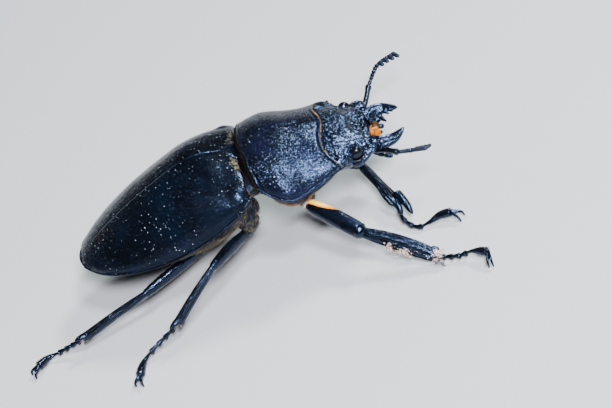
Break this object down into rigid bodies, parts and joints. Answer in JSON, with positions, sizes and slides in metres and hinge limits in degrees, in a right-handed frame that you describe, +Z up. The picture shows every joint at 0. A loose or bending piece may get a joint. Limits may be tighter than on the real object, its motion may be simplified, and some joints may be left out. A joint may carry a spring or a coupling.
{
  "type": "stag beetle",
  "caption": "Female stag beetle standing on its feet: broad head with short toothed jaws, wide prothorax, smooth domed wing cases, elbowed comb feelers and spined legs.",
  "frame": {"origin": "middle of the bounding box of the whole model, at floor level under the feet", "axes": "+X forwards along the body, from tail to head; +Y to the animal's left; +Z up"},
  "size_m": [0.0508, 0.0352, 0.0136],
  "materials": {
    "shell": "satin black horn with a blue sheen",
    "leg": "polished black horn",
    "jaw": "polished black horn",
    "belly": "dark brown horn under short golden hair",
    "eye": "polished dark brown",
    "feeler": "grey-black",
    "lip": "orange-brown bristles"
  },
  "bodies": {
    "root": {"abdomen": "belly", "antenna_club_left": "feeler", "antenna_club_right": "feeler", "antenna_funicle_left": "feeler", "antenna_funicle_right": "feeler", "antenna_scape_left": "feeler", "antenna_scape_right": "feeler", "elytron_left": "shell", "elytron_right": "shell", "eye_left": "eye", "eye_right": "eye", "head": "shell", "labial_palp_left": "feeler", "labial_palp_right": "feeler", "labrum": "lip", "leg_front_left_claws": "leg", "leg_front_left_coxa": "leg", "leg_front_left_femur": "leg", "leg_front_left_tarsus": "leg", "leg_front_left_tibia": "leg", "leg_front_right_claws": "leg", "leg_front_right_coxa": "leg", "leg_front_right_femur": "leg", "leg_front_right_tarsus": "leg", "leg_front_right_tibia": "leg", "leg_hind_left_claws": "leg", "leg_hind_left_coxa": "leg", "leg_hind_left_femur": "leg", "leg_hind_left_tarsus": "leg", "leg_hind_left_tibia": "leg", "leg_hind_right_claws": "leg", "leg_hind_right_coxa": "leg", "leg_hind_right_femur": "leg", "leg_hind_right_tarsus": "leg", "leg_hind_right_tibia": "leg", "leg_middle_left_claws": "leg", "leg_middle_left_coxa": "leg", "leg_middle_left_femur": "leg", "leg_middle_left_tarsus": "leg", "leg_middle_left_tibia": "leg", "leg_middle_right_claws": "leg", "leg_middle_right_coxa": "leg", "leg_middle_right_femur": "leg", "leg_middle_right_tarsus": "leg", "leg_middle_right_tibia": "leg", "mandible_left": "jaw", "mandible_right": "jaw", "palp_left": "feeler", "palp_right": "feeler", "prothorax": "shell", "pterothorax": "belly", "scutellum": "shell"}
  },
  "joints": []
}
